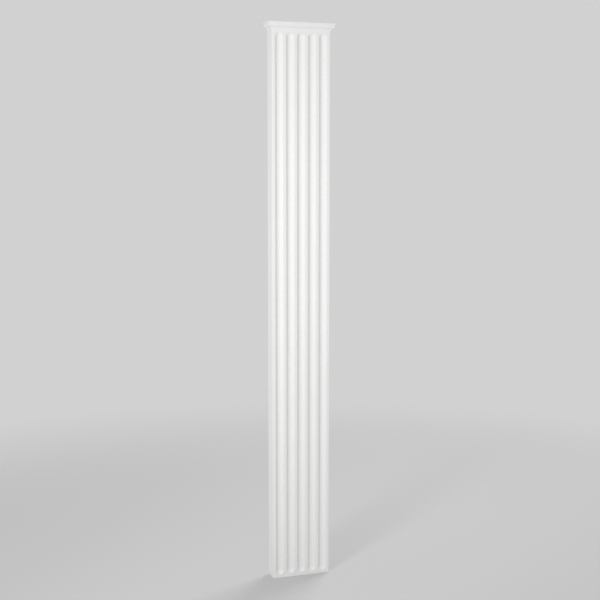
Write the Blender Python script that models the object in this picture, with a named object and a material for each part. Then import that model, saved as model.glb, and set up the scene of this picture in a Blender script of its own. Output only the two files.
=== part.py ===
"""A fluted pilaster shaft with a moulded cap, cast in one piece and fixed flat to a wall.

+Z is up, +X is to the right as one faces the shaft, and the front faces -Y.
The back is the plane y = 0, and the origin is the middle of the back, half way up.
"""

import math

import bmesh
import bpy

# Shaft, in metres
TOTAL_HEIGHT = 2.000
SHAFT_DEPTH = 0.054  # from the wall to the face of the shaft
ARRIS_RADIUS = 0.001  # softening of the upright outer corners

# Flutes: round channels with round ends, and flat fillets between and outside them
FLUTE_COUNT = 5
FLUTE_WIDTH = 0.0288
FLUTE_DEPTH = 0.010
FILLET_WIDTH = 0.012
FOOT_BAND = 0.013  # plain face from the foot to the flutes
NECK_BAND = 0.004  # plain face from the flutes to the cap

# Cap, from the shaft up: a hollow, a flat band, and a listel that oversails the band
HOLLOW_HEIGHT = 0.0158
HOLLOW_PROJECTION = 0.0128
BAND_HEIGHT = 0.0112
LISTEL_HEIGHT = 0.0055
LISTEL_OVERHANG = 0.0032

# How finely the round forms are divided
FLUTE_SEGMENTS = 48  # round the whole bar that cuts a flute, a multiple of 4
DOME_STEPS = 12
HOLLOW_STEPS = 12
ARRIS_STEPS = 3
SMOOTH_ANGLE = math.radians(30)  # faces that meet at less are shaded as one
MERGE_DISTANCE = 1e-6

PAINT_COLOUR = (0.86, 0.86, 0.85, 1.0)
PAINT_ROUGHNESS = 0.55

SHAFT_WIDTH = FLUTE_COUNT * FLUTE_WIDTH + (FLUTE_COUNT + 1) * FILLET_WIDTH
CAP_HEIGHT = HOLLOW_HEIGHT + BAND_HEIGHT + LISTEL_HEIGHT
FOOT_Z = -TOTAL_HEIGHT / 2
TOP_Z = TOTAL_HEIGHT / 2
CAP_Z = TOP_Z - CAP_HEIGHT


def clear_scene():
    for obj in list(bpy.data.objects):
        bpy.data.objects.remove(obj, do_unlink=True)


def paint_material():
    material = bpy.data.materials.new("white_paint")
    material.use_nodes = True
    shader = material.node_tree.nodes["Principled BSDF"]
    shader.inputs["Base Color"].default_value = PAINT_COLOUR
    shader.inputs["Roughness"].default_value = PAINT_ROUGHNESS
    shader.inputs["Metallic"].default_value = 0.0
    return material


def hollow_profile():
    """(projection, height) up the hollow, a quarter ellipse that leaves the shaft upright."""
    points = []
    for step in range(HOLLOW_STEPS + 1):
        turn = math.pi / 2 * step / HOLLOW_STEPS
        projection = HOLLOW_PROJECTION * (1 - math.cos(turn))
        points.append((projection, CAP_Z + HOLLOW_HEIGHT * math.sin(turn)))
    return points


def body_profile():
    """(projection beyond the shaft, height) from the foot to the top."""
    band_top = CAP_Z + HOLLOW_HEIGHT + BAND_HEIGHT
    listel_projection = HOLLOW_PROJECTION + LISTEL_OVERHANG
    foot = [(0.0, FOOT_Z)]
    band = [(HOLLOW_PROJECTION, band_top)]
    listel = [(listel_projection, band_top), (listel_projection, TOP_Z)]
    return foot + hollow_profile() + band + listel


def outline(projection):
    """Plan of the front and sides, back left corner to back right, grown outwards by projection."""
    half_width = SHAFT_WIDTH / 2 + projection
    depth = SHAFT_DEPTH + projection
    points = [(-half_width, 0.0)]
    for side in (-1, 1):
        for step in range(ARRIS_STEPS + 1):
            share = step / ARRIS_STEPS
            turn = math.pi / 2 * (share if side < 0 else 1 - share)
            x = side * (half_width - ARRIS_RADIUS * (1 - math.cos(turn)))
            y = -depth + ARRIS_RADIUS * (1 - math.sin(turn))
            points.append((x, y))
    points.append((half_width, 0.0))
    return points


def body_mesh():
    """The shaft and cap: the outline carried up the profile, with one flat face for the back."""
    bm = bmesh.new()
    rows = []
    for projection, height in body_profile():
        rows.append([bm.verts.new((x, y, height)) for x, y in outline(projection)])
    for lower, upper in zip(rows, rows[1:]):
        for i in range(len(lower) - 1):
            bm.faces.new((lower[i], lower[i + 1], upper[i + 1], upper[i]))
    left_edge = [row[0] for row in rows]
    right_edge = [row[-1] for row in rows]
    bm.faces.new(left_edge + right_edge[::-1])
    bm.faces.new(rows[0][::-1])
    bm.faces.new(rows[-1])
    mesh = bpy.data.meshes.new("pilaster_shaft")
    bm.to_mesh(mesh)
    bm.free()
    return mesh


def flute_radius():
    """Radius of the circle through both edges of a flute and its deepest point."""
    half_width = FLUTE_WIDTH / 2
    return (half_width**2 + FLUTE_DEPTH**2) / (2 * FLUTE_DEPTH)


def flute_cutter_mesh():
    """A round upright bar with ball ends, on its own axis. Each ball's centre is half a flute
    width in from the end of the flute, so that the flute's end shows as a half circle."""
    radius = flute_radius()
    low = FOOT_Z + FOOT_BAND + FLUTE_WIDTH / 2
    high = CAP_Z - NECK_BAND - FLUTE_WIDTH / 2
    side = []
    for step in range(DOME_STEPS + 1):
        turn = math.pi / 2 * step / DOME_STEPS
        side.append((radius * math.sin(turn), low - radius * math.cos(turn)))
    for step in range(DOME_STEPS + 1):
        turn = math.pi / 2 * step / DOME_STEPS
        side.append((radius * math.cos(turn), high + radius * math.sin(turn)))
    bm = bmesh.new()
    verts = [bm.verts.new((x, 0.0, z)) for x, z in side]
    edges = [bm.edges.new(pair) for pair in zip(verts, verts[1:])]
    bmesh.ops.spin(
        bm,
        geom=verts + edges,
        cent=(0.0, 0.0, 0.0),
        axis=(0.0, 0.0, 1.0),
        angle=2 * math.pi,
        steps=FLUTE_SEGMENTS,
        use_merge=True,
    )
    bmesh.ops.remove_doubles(bm, verts=bm.verts, dist=MERGE_DISTANCE)
    bmesh.ops.recalc_face_normals(bm, faces=bm.faces)
    mesh = bpy.data.meshes.new("flute_cutter")
    bm.to_mesh(mesh)
    bm.free()
    return mesh


def add_object(name, mesh):
    obj = bpy.data.objects.new(name, mesh)
    bpy.context.scene.collection.objects.link(obj)
    return obj


def cut_flutes(shaft):
    """Cuts the flutes side by side across the front, one cutter to each."""
    mesh = flute_cutter_mesh()
    spacing = FLUTE_WIDTH + FILLET_WIDTH
    axis_y = -SHAFT_DEPTH - (flute_radius() - FLUTE_DEPTH)
    for i in range(FLUTE_COUNT):
        cutter = add_object(f"flute_cutter_{i + 1}", mesh)
        cutter.location = ((i - (FLUTE_COUNT - 1) / 2) * spacing, axis_y, 0.0)
        cutter.hide_render = True
        cutter.display_type = "WIRE"
        cut = shaft.modifiers.new(f"flute_{i + 1}", "BOOLEAN")
        cut.operation = "DIFFERENCE"
        cut.solver = "EXACT"
        cut.object = cutter


def main():
    clear_scene()
    shaft = add_object("pilaster_shaft", body_mesh())
    shaft.data.materials.append(paint_material())
    shaft.data.shade_smooth()
    shaft.data.set_sharp_from_angle(angle=SMOOTH_ANGLE)
    cut_flutes(shaft)


main()
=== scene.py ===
"""A white primed pilaster shaft: round-ended flutes under a moulded cap, in a plain studio.

Laid out as an add-on and run as a script. +Z is up, +X is to the right as one faces the flutes,
the front faces -Y, and the flat back that goes against the wall is the plane y = 0.
"""

import math

import bmesh
import bpy
import numpy as np
from bpy.props import FloatProperty, FloatVectorProperty, IntProperty, PointerProperty
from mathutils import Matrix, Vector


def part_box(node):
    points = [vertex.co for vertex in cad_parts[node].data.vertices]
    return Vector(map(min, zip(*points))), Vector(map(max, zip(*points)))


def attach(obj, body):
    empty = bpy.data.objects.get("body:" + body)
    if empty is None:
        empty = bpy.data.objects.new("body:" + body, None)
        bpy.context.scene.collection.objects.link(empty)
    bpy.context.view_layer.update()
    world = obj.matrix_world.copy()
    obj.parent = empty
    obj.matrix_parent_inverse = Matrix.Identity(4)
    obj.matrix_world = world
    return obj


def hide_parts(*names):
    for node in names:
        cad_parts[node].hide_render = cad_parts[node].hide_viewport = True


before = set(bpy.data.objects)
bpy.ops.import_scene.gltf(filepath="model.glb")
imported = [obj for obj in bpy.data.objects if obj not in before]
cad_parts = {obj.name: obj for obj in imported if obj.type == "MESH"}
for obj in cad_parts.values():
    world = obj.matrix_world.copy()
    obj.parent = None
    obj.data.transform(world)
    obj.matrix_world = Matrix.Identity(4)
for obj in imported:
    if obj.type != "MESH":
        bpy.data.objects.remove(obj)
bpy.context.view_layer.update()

bl_info = {
    "name": "Fluted Pilaster Shaft",
    "version": (1, 0, 0),
    "blender": (4, 5, 0),
    "location": "3D View > Sidebar > Pilaster",
    "description": "Makes a primed, fluted pilaster shaft with a moulded cap and a studio to see it in",
    "category": "Add Mesh",
}

NODE = "pilaster_shaft"
LOW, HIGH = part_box(NODE)  # the cap sets its width and depth

# How finely the round forms are divided
FLOOR_STEPS = 22  # from the middle of a flute to its edge
EDGE_STEPS = 5  # round a flute's softened edge
DOME_STEPS = 64  # round the half circle at a flute's end, a multiple of 4
HALF_DOME = DOME_STEPS // 2
QUARTER_DOME = DOME_STEPS // 4
RUN_STEPS = 40  # along a flute
CORNER_STEPS = 6  # round an upright corner, and round an arris of the cap and foot
SIDE_STEPS = 4  # from the wall to the front
HOLLOW_STEPS = 24  # up the hollow of the cap

MERGE_DISTANCE = 1e-6
SHARP_ANGLE = math.radians(35)  # faces that meet at more are shaded apart
SHARE_DIGITS = 9  # decimals to which two places across the front are the same

# The coat of primer: how fine its marks are, and how far each changes the colour and roughness
CLOUDS_PER_METRE = 7.0
STROKES_PER_METRE = 40.0
STROKE_LENGTH = 14.0  # times a stroke's width
PEEL_PER_METRE = 750.0
MEAN_NOISE = 0.5
THIN_COAT = 0.975  # times the primer's colour
THICK_COAT = 1.02
CLOUD_TINT = 0.6
STROKE_TINT = 0.4
BACK_TINT = 0.5
CLOUD_ROUGHNESS = 0.10
STROKE_ROUGHNESS = 0.12
PEEL_ROUGHNESS = 0.06
BACK_ROUGHNESS = 0.15
BACK_DEPTH = 0.0005  # what is nearer to the wall than this is the back

# The studio's floor and lamps
STAGE_RADIUS = 6.0
STAGE_RINGS = 12
STAGE_SPOKES = 64
STAGE_ROUGHNESS = 0.8
FADE_START = 0.6  # from the middle of the floor
FADE_END = 3.6
LAMP_SPREAD = math.radians(130)

# The camera that the photo's lines give
CAMERA_PLACE = (-1.3527, -4.0161, 0.4987)
CAMERA_TILT = math.radians(6.484)  # downwards
CAMERA_TURN = math.radians(18.793)  # to the right
CAMERA_LENS = 70.34  # mm, as the sensor's width
SENSOR_WIDTH = 36.0


class ShaftSizes(bpy.types.PropertyGroup):
    """Sizes of the flutes and the plain bands round them"""

    flute_count: IntProperty(name="Flutes", description="Flutes across the front", default=5, min=1)
    flute_width: FloatProperty(
        name="Flute width",
        description="Width of a flute between its edges, before they are softened",
        default=0.0288,
        unit="LENGTH",
    )
    flute_depth: FloatProperty(
        name="Flute depth",
        description="Depth of a flute below the fillets",
        default=0.010,
        unit="LENGTH",
    )
    flute_edge: FloatProperty(
        name="Flute edge radius",
        description="Softening of the edge between a flute and a fillet",
        default=0.0024,
        unit="LENGTH",
    )
    foot_band: FloatProperty(
        name="Foot band",
        description="Plain face from the foot to the flutes",
        default=0.013,
        unit="LENGTH",
    )
    neck_band: FloatProperty(
        name="Neck band",
        description="Plain face from the flutes to the cap",
        default=0.004,
        unit="LENGTH",
    )
    corner: FloatProperty(
        name="Corner radius",
        description="Softening of the upright outer corners",
        default=0.001,
        unit="LENGTH",
    )


class CapSizes(bpy.types.PropertyGroup):
    """Sizes of the cap's hollow, band and listel"""

    hollow_height: FloatProperty(
        name="Hollow height",
        description="Height of the hollow over the neck",
        default=0.0158,
        unit="LENGTH",
    )
    hollow_projection: FloatProperty(
        name="Hollow projection",
        description="How far the hollow and the band stand out from the shaft",
        default=0.0128,
        unit="LENGTH",
    )
    band_height: FloatProperty(
        name="Band height",
        description="Height of the flat band over the hollow",
        default=0.0112,
        unit="LENGTH",
    )
    listel_height: FloatProperty(
        name="Listel height",
        description="Height of the top fillet",
        default=0.0055,
        unit="LENGTH",
    )
    listel_overhang: FloatProperty(
        name="Listel overhang",
        description="How far the listel oversails the band",
        default=0.0032,
        unit="LENGTH",
    )
    arris: FloatProperty(
        name="Arris radius",
        description="Softening of the level edges of the cap and the foot",
        default=0.0008,
        unit="LENGTH",
    )


class PrimerLook(bpy.types.PropertyGroup):
    """Look of the white primer"""

    colour: FloatVectorProperty(
        name="Primer",
        description="Colour of the white primer",
        default=(0.86, 0.86, 0.855),
        subtype="COLOR",
        min=0.0,
        max=1.0,
    )
    roughness: FloatProperty(
        name="Roughness",
        description="Roughness of the primer, which is a little greater on the back",
        default=0.6,
        subtype="FACTOR",
    )
    peel_height: FloatProperty(
        name="Orange peel",
        description="Height of the fine ripple that the spray gun leaves",
        default=0.00002,
        unit="LENGTH",
    )


class StudioLook(bpy.types.PropertyGroup):
    """Look of the floor and strength of the lights"""

    surround: FloatProperty(
        name="Surround",
        description="Brightness of the even light from all round",
        default=0.64,
    )
    floor_colour: FloatVectorProperty(
        name="Floor",
        description="Colour of the pale floor",
        default=(0.6, 0.6, 0.6),
        subtype="COLOR",
        min=0.0,
        max=1.0,
    )
    key_power: FloatProperty(
        name="Key light",
        description="Power of the soft light from the front left",
        default=11.6,
        unit="POWER",
    )
    fill_power: FloatProperty(
        name="Front fill",
        description="Power of the wide light in front that is turned up at the cap",
        default=2.0,
        unit="POWER",
    )
    rear_power: FloatProperty(
        name="Rear fill",
        description="Power of the light on the back, the top and the right side",
        default=20.0,
        unit="POWER",
    )


class SettingOut:
    """Where the lines of the shaft and the cap fall, from the CAD box and the driving sizes.

    The guard is the strip beside a rounding that keeps the flat beyond it shading flat."""

    def __init__(self, shaft, cap):
        overhang = cap.hollow_projection + cap.listel_overhang
        self.half_width = HIGH.x - overhang
        self.depth = -LOW.y - overhang
        self.corner = shaft.corner
        self.foot = LOW.z
        self.top = HIGH.z
        self.cap_foot = HIGH.z - cap.hollow_height - cap.band_height - cap.listel_height
        self.arris = cap.arris
        self.guard = cap.arris / 2
        self.face_low = self.foot + self.arris + self.guard

        flutes = shaft.flute_count * shaft.flute_width
        fillet = (2 * self.half_width - flutes) / (shaft.flute_count + 1)
        pitch = shaft.flute_width + fillet
        self.flute_centres = (np.arange(shaft.flute_count) - (shaft.flute_count - 1) / 2) * pitch
        outer = self.half_width - self.corner
        between = (self.flute_centres[:-1] + self.flute_centres[1:]) / 2
        self.cell_edges = np.concatenate(([-outer], between, [outer]))
        self.dome_low = self.foot + shaft.foot_band + shaft.flute_width / 2
        self.dome_high = self.cap_foot - shaft.neck_band - shaft.flute_width / 2


def arc(centre, radius, start, end, steps):
    """Points of a circle: centre + radius (cos, sin) of angles spaced evenly from start to end."""
    turn = np.radians(np.linspace(start, end, steps + 1))
    return np.column_stack((centre[0] + radius * np.cos(turn), centre[1] + radius * np.sin(turn)))


def foot_profile(lines):
    """(projection, height) from under the foot, round its arris, up to the face."""
    arris = lines.arris
    under = (-arris - lines.guard, lines.foot)
    rounding = arc((-arris, lines.foot + arris), arris, -90, 0, CORNER_STEPS)
    return np.vstack((under, rounding, (0.0, lines.face_low)))


def cap_profile(lines, cap):
    """(projection, height) up the cap.

    The hollow is a quarter ellipse: projection grows as 1 - cos, height as sin. An arris, the
    band, a small inner corner, the underside, face and arrises of the listel follow it. A point
    stands one guard in from each end of a flat, so that the flats shade flat."""
    arris = lines.arris
    inset = arris + lines.guard
    hollow_top = lines.cap_foot + cap.hollow_height
    band_top = hollow_top + cap.band_height
    band = cap.hollow_projection
    listel = band + cap.listel_overhang
    turn = np.radians(np.linspace(0, 90, HOLLOW_STEPS + 1))
    out = (band - arris) * (1 - np.cos(turn))
    up = lines.cap_foot + cap.hollow_height * np.sin(turn)
    return np.vstack(
        (
            np.column_stack((out, up)),
            arc((band - arris, hollow_top + arris), arris, -90, 0, CORNER_STEPS)[1:],
            (band, hollow_top + inset),
            (band, band_top - inset),
            arc((band + arris, band_top - arris), arris, 180, 90, CORNER_STEPS),
            (band + inset, band_top),
            (listel - inset, band_top),
            arc((listel - arris, band_top + arris), arris, -90, 0, CORNER_STEPS),
            (listel, band_top + inset),
            (listel, lines.top - inset),
            arc((listel - arris, lines.top - arris), arris, 0, 90, CORNER_STEPS),
            (listel - inset, lines.top),
        )
    )


def flute_profile(shaft, guard):
    """(reach from the middle, depth below the face) across half a flute.

    The floor is the circle through both edges and the deepest point: R sin, R cos - rise, where
    rise is how far its centre stands off the face. It meets the face in a small circle that
    touches both: out to (reach, 0). The last point is one guard further on the flat."""
    half = shaft.flute_width / 2
    deep = shaft.flute_depth
    soft = shaft.flute_edge
    radius = (half**2 + deep**2) / (2 * deep)
    rise = radius - deep
    reach = math.sqrt((radius + soft) ** 2 - (rise + soft) ** 2)
    swing = math.degrees(math.asin(reach / (radius + soft)))
    floor = arc((0.0, -rise), radius, 90, 90 - swing, FLOOR_STEPS)
    edge = arc((reach, soft), soft, 270 - swing, 270, EDGE_STEPS)[1:]
    return np.vstack((floor, edge, (reach + guard, 0.0)))


def quads(rows, columns, closed=False):
    """Vertex numbers of the quads of a grid, row by row. Closed joins the last row to the first."""
    number = np.arange(rows * columns).reshape(rows, columns)
    ring = np.vstack((number, number[:1])) if closed else number
    corners = (ring[:-1, :-1], ring[:-1, 1:], ring[1:, 1:], ring[1:, :-1])
    return np.stack(corners, axis=-1).reshape(-1, 4)


def polygon(points):
    """A flat patch: one face round the points."""
    return points, np.arange(len(points))[None, :]


def flute_run(lines):
    """Heights along the straight part of a flute, between the middles of its two ends."""
    return np.linspace(lines.dome_low, lines.dome_high, RUN_STEPS + 1)


def face_heights(lines):
    """Heights up the edge of a flute's cell: beside its lower end, its run and its upper end."""
    low = np.linspace(lines.face_low, lines.dome_low, QUARTER_DOME + 1)
    high = np.linspace(lines.dome_high, lines.cap_foot, QUARTER_DOME + 1)
    return np.concatenate((low, flute_run(lines)[1:], high[1:]))


def flute_path(lines):
    """The path that a flute's profile is carried round: (middle height, way out x, way out z).

    Up the left side, round the upper half circle, down the right side, round the lower one."""
    run = flute_run(lines)
    up = np.radians(np.linspace(180, 0, DOME_STEPS + 1)[1:-1])
    down = np.radians(np.linspace(0, -180, DOME_STEPS + 1)[1:-1])
    still = np.ones(len(run))
    middle = np.concatenate((run, lines.dome_high + 0 * up, run[::-1], lines.dome_low + 0 * down))
    way_x = np.concatenate((-still, np.cos(up), still, np.cos(down)))
    way_z = np.concatenate((0 * still, np.sin(up), 0 * still, np.sin(down)))
    return middle, way_x, way_z


def cell_rim(lines, left, right):
    """(x, z) round the cell between two upright lines, point for point with flute_path."""
    run = flute_run(lines)
    above = np.linspace(lines.dome_high, lines.cap_foot, QUARTER_DOME + 1)
    below = np.linspace(lines.dome_low, lines.face_low, QUARTER_DOME + 1)
    across = np.linspace(left, right, HALF_DOME + 1)[1:-1]
    stretches = (
        (np.full(len(run), left), run),
        (np.full(QUARTER_DOME, left), above[1:]),
        (across, np.full(len(across), lines.cap_foot)),
        (np.full(QUARTER_DOME, right), above[:0:-1]),
        (np.full(len(run), right), run[::-1]),
        (np.full(QUARTER_DOME, right), below[1:]),
        (across[::-1], np.full(len(across), lines.face_low)),
        (np.full(QUARTER_DOME, left), below[:0:-1]),
    )
    return np.concatenate(stretches, axis=1)


def fluted_cell(lines, shaft, middle_x, left, right):
    """One flute and the flat face round it: the half profile carried round its path.

    Point = (middle x + way x * reach, face + depth, middle z + way z * reach), and the outermost
    ring is the cell's rim on the flat face."""
    profile = flute_profile(shaft, lines.guard)
    middle_z, way_x, way_z = flute_path(lines)
    reach = profile[:, 0]
    x = middle_x + way_x[:, None] * reach
    y = np.broadcast_to(-lines.depth + profile[:, 1], x.shape)
    z = middle_z[:, None] + way_z[:, None] * reach
    rim_x, rim_z = cell_rim(lines, left, right)
    grid = np.stack(
        (
            np.column_stack((x, rim_x)),
            np.column_stack((y, np.full(len(x), -lines.depth))),
            np.column_stack((z, rim_z)),
        ),
        axis=-1,
    )
    rows, columns = grid.shape[:2]
    return grid.reshape(-1, 3), quads(rows, columns, closed=True)


def side_plan():
    """Half of the plan as shares, from the wall to where the rounded corner meets the front.

    x = a * half width + b * corner radius and y = c * depth + d * corner radius."""
    along = np.linspace(0, 1, SIDE_STEPS + 1)[:-1]
    turn = np.radians(np.linspace(0, 90, CORNER_STEPS + 1))
    side = np.column_stack((-1 + 0 * along, 0 * along, -along, along))
    corner = np.column_stack((-1 + 0 * turn, 1 - np.cos(turn), -1 + 0 * turn, 1 - np.sin(turn)))
    return np.vstack((side, corner))


def front_plan(lines):
    """The front of the plan as the same shares, with a point wherever a flute's cell has one."""
    across = np.linspace(lines.cell_edges[:-1], lines.cell_edges[1:], HALF_DOME + 1)
    share = np.unique(np.round(across / lines.cell_edges[-1], SHARE_DIGITS))
    return np.column_stack((share, -share, -1 + 0 * share, 0 * share))


def mirrored(plan):
    """The plan's other half, in order away from the front."""
    return plan[::-1] * (-1, -1, 1, 1)


def carried_plan(lines, plan, profile):
    """The plan carried up a profile: grown outwards by the profile's projection at each height."""
    projection = profile[:, :1]
    half_width = lines.half_width + projection
    depth = lines.depth + projection
    a, b, c, d = plan.T
    x = a * half_width + b * lines.corner
    y = c * depth + d * lines.corner
    z = np.broadcast_to(profile[:, 1:], x.shape)
    return np.stack((x, y, z), axis=-1)


def carried_patch(lines, plan, profile):
    """The surface that a plan carried up a profile makes."""
    grid = carried_plan(lines, plan, profile)
    rows, columns = grid.shape[:2]
    return grid.reshape(-1, 3), quads(rows, columns)


def back_patch(lines, profile):
    """The flat back: up its left edge, half width + projection out, and down its mirror image."""
    left = np.column_stack((-lines.half_width - profile[:, 0], 0 * profile[:, 0], profile[:, 1]))
    return polygon(np.vstack((left, left[::-1] * (-1, 1, 1))))


def shaft_patches(lines, shaft, cap):
    """Every surface of the casting: foot, sides, cap, fluted cells, and the three flat faces."""
    side = side_plan()
    whole = np.vstack((side[:-1], front_plan(lines), mirrored(side)[1:]))
    heights = face_heights(lines)
    face = np.column_stack((0 * heights, heights))
    foot = foot_profile(lines)
    head = cap_profile(lines, cap)
    patches = [
        carried_patch(lines, whole, foot),
        carried_patch(lines, side, face),
        carried_patch(lines, mirrored(side), face),
        carried_patch(lines, whole, head),
        polygon(carried_plan(lines, whole, foot[:1])[0]),
        polygon(carried_plan(lines, whole, head[-1:])[0]),
    ]
    cells = zip(lines.flute_centres, lines.cell_edges, lines.cell_edges[1:])
    patches += [fluted_cell(lines, shaft, middle, left, right) for middle, left, right in cells]
    patches.append(back_patch(lines, np.vstack((foot, face[1:-1], head))))
    return patches


def merge_seams(mesh):
    """Joins the points that lie on each other, turns the faces outwards and counts open edges."""
    bm = bmesh.new()
    bm.from_mesh(mesh)
    bmesh.ops.remove_doubles(bm, verts=bm.verts, dist=MERGE_DISTANCE)
    bmesh.ops.recalc_face_normals(bm, faces=bm.faces)
    gaps = sum(not edge.is_manifold for edge in bm.edges)
    bm.to_mesh(mesh)
    bm.free()
    return gaps


def closed_mesh(name, patches):
    """One closed mesh from patches whose edges meet point for point."""
    starts = np.cumsum([0] + [len(points) for points, _ in patches])
    faces = []
    for start, (_, numbers) in zip(starts, patches):
        faces += (numbers + start).tolist()
    mesh = bpy.data.meshes.new(name)
    mesh.from_pydata(np.vstack([points for points, _ in patches]).tolist(), [], faces)
    gaps = merge_seams(mesh)
    if gaps:
        raise RuntimeError(f"{name} has {gaps} open edges")
    mesh.shade_smooth()
    mesh.set_sharp_from_angle(angle=SHARP_ANGLE)
    return mesh


class Value:
    """A shader socket that can be written in sums: each operator adds its Math node."""

    def __init__(self, finish, socket):
        self.finish = finish
        self.socket = socket

    def worked_out(self, operation, *values):
        """One Math node over the values."""
        return self.finish.node("ShaderNodeMath", {"operation": operation}, dict(enumerate(values)))

    def __add__(self, other):
        return self.worked_out("ADD", self, other)

    def __sub__(self, other):
        return self.worked_out("SUBTRACT", self, other)

    def __rsub__(self, other):
        return self.worked_out("SUBTRACT", other, self)

    def __mul__(self, other):
        return self.worked_out("MULTIPLY", self, other)

    def __gt__(self, other):
        return self.worked_out("GREATER_THAN", self, other)

    __radd__ = __add__
    __rmul__ = __mul__


class Finish:
    """A material and the nodes that make its look."""

    def __init__(self, name):
        self.material = bpy.data.materials.new(name)
        self.material.use_nodes = True
        self.tree = self.material.node_tree
        self.shader = self.tree.nodes["Principled BSDF"]
        self.place = self.node("ShaderNodeTexCoord", output="Object")

    def node(self, kind, settings=None, sockets=None, output=0):
        """Adds a node, its settings first and then its sockets, and returns one output."""
        made = self.tree.nodes.new(kind)
        for name, setting in (settings or {}).items():
            setattr(made, name, setting)
        self.feed(made, sockets or {})
        return Value(self, made.outputs[output])

    def feed(self, node, sockets):
        """Links a Value to a socket, or sets the socket's own value."""
        for name, value in sockets.items():
            if isinstance(value, Value):
                self.tree.links.new(value.socket, node.inputs[name])
            else:
                node.inputs[name].default_value = value

    def noise(self, per_metre, detail=2.0, stretch=(1.0, 1.0, 1.0)):
        """Cloudy noise from 0 to 1, so many blotches to the metre, drawn out by stretch."""
        scale = tuple(per_metre / length for length in stretch)
        place = self.node("ShaderNodeMapping", sockets={"Vector": self.place, "Scale": scale})
        return self.node("ShaderNodeTexNoise", sockets={"Vector": place, "Scale": 1.0, "Detail": detail})

    def blend(self, share, first, second):
        """A share of the second colour in the first. Colours are a Mix node's inputs 6 and 7."""
        sockets = {"Factor": share, 6: (*first, 1.0), 7: (*second, 1.0)}
        return self.node("ShaderNodeMix", {"data_type": "RGBA"}, sockets, output=2)


def primer_finish(look):
    """White primer, sprayed: faint clouds, long faint strokes of the gun and a fine orange peel.
    The back, which goes against the wall, is duller and coarser."""
    finish = Finish("white_primer")
    inwards = finish.node("ShaderNodeSeparateXYZ", sockets={"Vector": finish.place}, output="Y")
    back = inwards > -BACK_DEPTH
    clouds = finish.noise(CLOUDS_PER_METRE, detail=3.0)
    strokes = finish.noise(STROKES_PER_METRE, stretch=(1.0, 1.0, STROKE_LENGTH))
    peel = finish.noise(PEEL_PER_METRE, detail=1.0)
    tint = clouds * CLOUD_TINT + strokes * STROKE_TINT - back * BACK_TINT
    thin = [channel * THIN_COAT for channel in look.colour]
    thick = [channel * THICK_COAT for channel in look.colour]
    colour = finish.blend(tint, thin, thick)
    roughness = (clouds - MEAN_NOISE) * CLOUD_ROUGHNESS
    roughness += (strokes - MEAN_NOISE) * STROKE_ROUGHNESS
    roughness += (peel - MEAN_NOISE) * PEEL_ROUGHNESS
    roughness += back * BACK_ROUGHNESS + look.roughness
    ripple = finish.node(
        "ShaderNodeBump",
        sockets={"Height": peel * (1 + back), "Distance": look.peel_height, "Strength": 1.0},
    )
    finish.feed(finish.shader, {"Base Color": colour, "Roughness": roughness, "Normal": ripple})
    return finish.material


def floor_finish(look):
    """Pale matt floor that fades out with distance."""
    finish = Finish("pale_floor")
    distance = finish.node(
        "ShaderNodeVectorMath", {"operation": "LENGTH"}, {0: finish.place}, output="Value"
    )
    fade = finish.node(
        "ShaderNodeMapRange",
        {"interpolation_type": "SMOOTHERSTEP"},
        {"Value": distance, "From Min": FADE_START, "From Max": FADE_END, "To Min": 1.0, "To Max": 0.0},
    )
    finish.feed(
        finish.shader,
        {"Base Color": (*look.floor_colour, 1.0), "Roughness": STAGE_ROUGHNESS, "Alpha": fade},
    )
    return finish.material


def add_object(name, data):
    """Puts a mesh, lamp or camera into the scene."""
    made = bpy.data.objects.new(name, data)
    bpy.context.scene.collection.objects.link(made)
    return made


def studio_floor(look):
    """A round floor under the foot: radius (cos, sin) of rings of growing radius about the origin."""
    rings = np.linspace(0, STAGE_RADIUS, STAGE_RINGS + 1)
    spokes = np.radians(np.linspace(0, 360, STAGE_SPOKES + 1))
    radius, turn = np.meshgrid(rings, spokes, indexing="ij")
    grid = np.stack((radius * np.cos(turn), radius * np.sin(turn), 0 * radius), axis=-1)
    mesh = bpy.data.meshes.new("studio_floor")
    mesh.from_pydata(grid.reshape(-1, 3).tolist(), [], quads(*radius.shape).tolist())
    merge_seams(mesh)
    mesh.materials.append(floor_finish(look))
    floor = add_object("studio_floor", mesh)
    floor.location.z = LOW.z
    return floor


def soft_light(name, power, azimuth, distance, height, aim, wide, tall):
    """A soft panel, azimuth degrees left of the front, turned to the height aim on the shaft.

    Its spread is narrowed so that it fades out on the floor before its own plane cuts it off."""
    data = bpy.data.lights.new(name, "AREA")
    data.shape = "RECTANGLE"
    data.size = wide
    data.size_y = tall
    data.spread = LAMP_SPREAD
    data.energy = power
    lamp = add_object(name, data)
    turn = math.radians(azimuth)
    lamp.location = (-distance * math.sin(turn), -distance * math.cos(turn), height)
    drop = math.atan2(height - aim, distance)
    lamp.rotation_euler = (math.radians(90) - drop, 0.0, -turn)
    lamp.visible_camera = False


def studio_lights(look):
    """A tall key at the front left, a wide fill turned up at the cap, and one at the rear right."""
    soft_light("key", look.key_power, azimuth=45, distance=2.4, height=0.3, aim=0.1, wide=0.4, tall=1.4)
    soft_light(
        "front_fill", look.fill_power, azimuth=10, distance=1.8, height=0.3, aim=0.8, wide=2.0, tall=0.8
    )
    soft_light(
        "rear_fill", look.rear_power, azimuth=-130, distance=2.4, height=1.8, aim=-0.2, wide=1.6, tall=1.0
    )


def surround(look):
    """The same pale light from every side, shown without a film curve."""
    world = bpy.data.worlds.new("pale_surround")
    world.use_nodes = True
    background = world.node_tree.nodes["Background"]
    background.inputs["Color"].default_value = (1.0, 1.0, 1.0, 1.0)
    background.inputs["Strength"].default_value = look.surround
    bpy.context.scene.world = world
    bpy.context.scene.view_settings.view_transform = "Standard"


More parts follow.
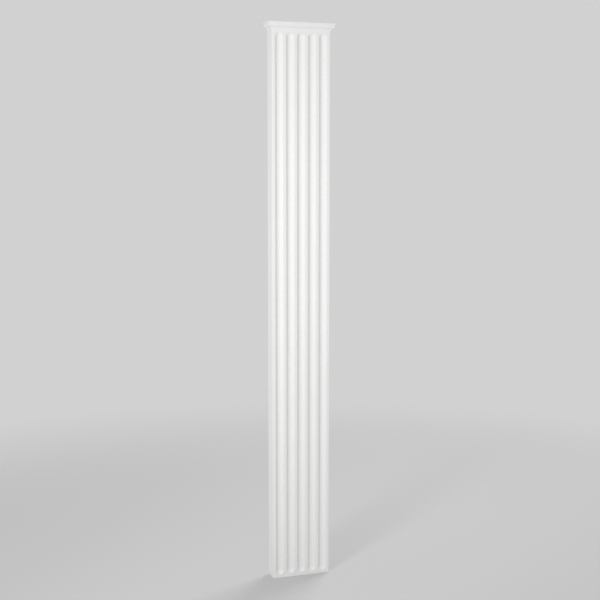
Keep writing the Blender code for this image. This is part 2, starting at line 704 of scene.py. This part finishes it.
def studio_camera():
    """The camera where the photo's lines put it: at eye height, a little left of the front."""
    data = bpy.data.cameras.new("camera")
    data.lens = CAMERA_LENS
    data.sensor_width = SENSOR_WIDTH
    camera = add_object("camera", data)
    camera.location = CAMERA_PLACE
    camera.rotation_euler = (math.radians(90) - CAMERA_TILT, 0.0, -CAMERA_TURN)
    bpy.context.scene.camera = camera


class PILASTER_OT_shaft(bpy.types.Operator):
    """Makes the primed shaft with its flutes and cap, in place of the plain CAD solid"""

    bl_idname = "pilaster.shaft"
    bl_label = "Make the shaft"

    def execute(self, context):
        sizes = context.scene.pilaster_shaft
        cap = context.scene.pilaster_cap
        lines = SettingOut(sizes, cap)
        mesh = closed_mesh("primed_shaft", shaft_patches(lines, sizes, cap))
        mesh.materials.append(primer_finish(context.scene.pilaster_primer))
        shaft = add_object("primed_shaft", mesh)
        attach(shaft, "root")
        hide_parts(NODE)
        return {"FINISHED"}


class PILASTER_OT_studio(bpy.types.Operator):
    """Sets out the pale floor, the soft light and the camera at the photo's angle"""

    bl_idname = "pilaster.studio"
    bl_label = "Set out the studio"

    def execute(self, context):
        look = context.scene.pilaster_studio
        studio_floor(look)
        studio_lights(look)
        surround(look)
        studio_camera()
        return {"FINISHED"}


class PILASTER_PT_panel(bpy.types.Panel):
    """Lists the sizes and looks, with a button for the shaft and one for the studio"""

    bl_idname = "PILASTER_PT_panel"
    bl_label = "Pilaster shaft"
    bl_space_type = "VIEW_3D"
    bl_region_type = "UI"
    bl_category = "Pilaster"

    def draw(self, context):
        scene = context.scene
        for group in (scene.pilaster_shaft, scene.pilaster_cap, scene.pilaster_primer):
            self.list_values(group)
        self.layout.operator(PILASTER_OT_shaft.bl_idname)
        self.list_values(scene.pilaster_studio)
        self.layout.operator(PILASTER_OT_studio.bl_idname)

    def list_values(self, group):
        column = self.layout.column(align=True)
        for name in group.__annotations__:
            column.prop(group, name)


GROUPS = {
    "pilaster_shaft": ShaftSizes,
    "pilaster_cap": CapSizes,
    "pilaster_primer": PrimerLook,
    "pilaster_studio": StudioLook,
}
CLASSES = (*GROUPS.values(), PILASTER_OT_shaft, PILASTER_OT_studio, PILASTER_PT_panel)


def register():
    for item in CLASSES:
        bpy.utils.register_class(item)
    for name, group in GROUPS.items():
        setattr(bpy.types.Scene, name, PointerProperty(type=group))


def unregister():
    for name in GROUPS:
        delattr(bpy.types.Scene, name)
    for item in reversed(CLASSES):
        bpy.utils.unregister_class(item)


def main():
    register()
    bpy.ops.pilaster.studio()
    bpy.ops.pilaster.shaft()
    bpy.context.view_layer.update()


if __name__ == "__main__":
    main()
